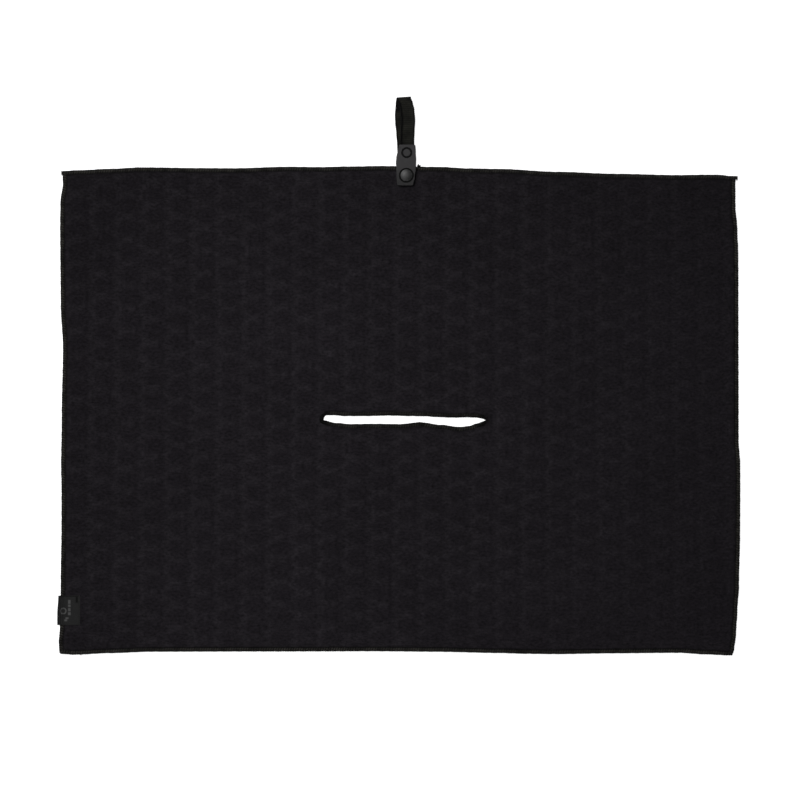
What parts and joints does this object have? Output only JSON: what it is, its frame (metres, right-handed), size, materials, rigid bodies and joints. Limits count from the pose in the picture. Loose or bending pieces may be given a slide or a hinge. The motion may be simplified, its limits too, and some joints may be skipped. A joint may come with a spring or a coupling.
{
  "type": "golf towel",
  "caption": "Rectangular microfibre waffle towel with overlocked edges, a central club slit, a woven edge label and a webbing hanging strap that opens with a snap.",
  "frame": {"origin": "under the middle of the whole object, strap and label included, on the surface that the towel lies on", "axes": "+X across the towel's width, label on the -X side; +Y towards the strap; +Z out of the front face"},
  "size_m": [0.715, 0.584, 0.0082],
  "materials": {
    "waffle_cloth": "matte brushed microfibre",
    "overlock_thread": "textured polyester thread",
    "sewing_thread": "polyester sewing thread",
    "label_ribbon": "woven damask ribbon",
    "webbing": "ribbed polyester webbing",
    "moulded_tab": "matte moulded elastomer",
    "snap_cap_finish": "glossy black lacquer",
    "snap_metal": "black plated brass",
    "spring_steel": "drawn wire"
  },
  "bodies": {
    "lower": {"towel_lower": "waffle_cloth", "overlock_bottom": "overlock_thread", "overlock_left_lower": "overlock_thread", "overlock_right_lower": "overlock_thread", "slit_overlock_lower": "overlock_thread", "woven_label": "label_ribbon", "label_stitching": "sewing_thread"},
    "upper": {"towel_upper": "waffle_cloth", "overlock_top": "overlock_thread", "overlock_left_upper": "overlock_thread", "overlock_right_upper": "overlock_thread", "slit_overlock_upper": "overlock_thread", "strap_back_leg": "webbing", "strap_fold": "webbing", "anchor_stitching": "sewing_thread", "snap_stud": "snap_metal", "stud_post": "snap_metal"},
    "strap": {"strap_front_leg": "webbing", "strap_tab": "moulded_tab", "snap_cap": "snap_cap_finish", "snap_socket": "snap_metal", "socket_spring": "spring_steel"}
  },
  "joints": [
    {"name": "towel_fold", "type": "hinge", "parent": "lower", "child": "upper", "pos_m": [0, -0.047, 0.0044], "axis": [1, 0, 0], "range_deg": [0, 175]},
    {"name": "strap_unsnap", "type": "hinge", "parent": "upper", "child": "strap", "pos_m": [0.0085, 0.2933, 0.0041], "axis": [-1, 0, 0], "range_deg": [0, 175], "deforming": ["strap_fold", "socket_spring"]}
  ]
}
